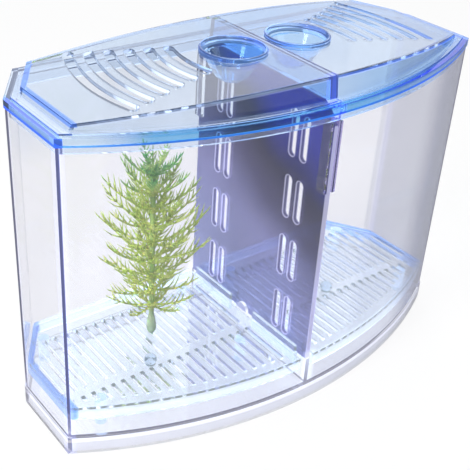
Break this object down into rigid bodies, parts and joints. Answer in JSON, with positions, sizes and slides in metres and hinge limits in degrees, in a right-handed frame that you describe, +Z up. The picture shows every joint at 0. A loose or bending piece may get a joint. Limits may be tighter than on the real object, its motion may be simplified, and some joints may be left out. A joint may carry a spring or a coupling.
{
  "type": "fish breeding box",
  "caption": "Clear bow-fronted tank with a slotted divider, slotted trays above its floor, domed half lids with curved vents and feeding cups, and a feathery plastic plant.",
  "frame": {"origin": "centre of the bounding box's base, on the face that the foot band stands on", "axes": "+X along the length, from the left room to the right room; +Y from the bowed front to the flat back; +Z up"},
  "size_m": [0.185, 0.0804, 0.1355],
  "materials": {
    "clear_tank": "clear polished plastic with faint violet edges",
    "violet_divider": "dark violet-blue translucent plastic, glossy",
    "blue_lid": "pale blue clear plastic, glossy, deeper blue at its edges",
    "pale_tray": "very pale blue clear plastic",
    "clear_knob": "clear glossy plastic",
    "plant_green": "soft moulded plastic, yellow-green below and darker above",
    "plant_base_green": "grey-green moulded plastic"
  },
  "bodies": {
    "tank": {"tank_shell": "clear_tank"},
    "divider": {"divider": "violet_divider"},
    "left_tray": {"left_tray": "pale_tray", "left_tray_knob": "clear_knob"},
    "right_tray": {"right_tray": "pale_tray", "right_tray_knob": "clear_knob"},
    "left_lid": {"left_lid": "blue_lid", "left_feeding_cup": "blue_lid"},
    "right_lid": {"right_lid": "blue_lid", "right_feeding_cup": "blue_lid"},
    "plant": {"plant_base": "plant_base_green", "plant_stem": "plant_green", "leaf_whorl_1": "plant_green", "leaf_whorl_2": "plant_green", "leaf_whorl_3": "plant_green", "leaf_whorl_4": "plant_green", "leaf_whorl_5": "plant_green", "leaf_whorl_6": "plant_green", "leaf_whorl_7": "plant_green", "leaf_whorl_8": "plant_green", "leaf_whorl_9": "plant_green"}
  },
  "joints": [
    {"name": "left_lid_lift", "type": "slide", "parent": "tank", "child": "left_lid", "axis": [0, 0, 1], "range_m": [0, 0.15]},
    {"name": "right_lid_lift", "type": "slide", "parent": "tank", "child": "right_lid", "axis": [0, 0, 1], "range_m": [0, 0.15]},
    {"name": "divider_lift", "type": "slide", "parent": "tank", "child": "divider", "axis": [0, 0, 1], "range_m": [0, 0.13]},
    {"name": "left_tray_lift", "type": "slide", "parent": "tank", "child": "left_tray", "axis": [0, 0, 1], "range_m": [0, 0.125]},
    {"name": "right_tray_lift", "type": "slide", "parent": "tank", "child": "right_tray", "axis": [0, 0, 1], "range_m": [0, 0.125]},
    {"name": "plant_lift", "type": "slide", "parent": "tank", "child": "plant", "axis": [0, 0, 1], "range_m": [0, 0.14]}
  ],
  "couplings": [
    {"joint": "divider_lift", "follows": "left_lid_lift", "ratio": 0.85},
    {"joint": "left_tray_lift", "follows": "left_lid_lift", "ratio": 0.8},
    {"joint": "plant_lift", "follows": "left_lid_lift", "ratio": 0.92},
    {"joint": "right_tray_lift", "follows": "right_lid_lift", "ratio": 0.8}
  ]
}
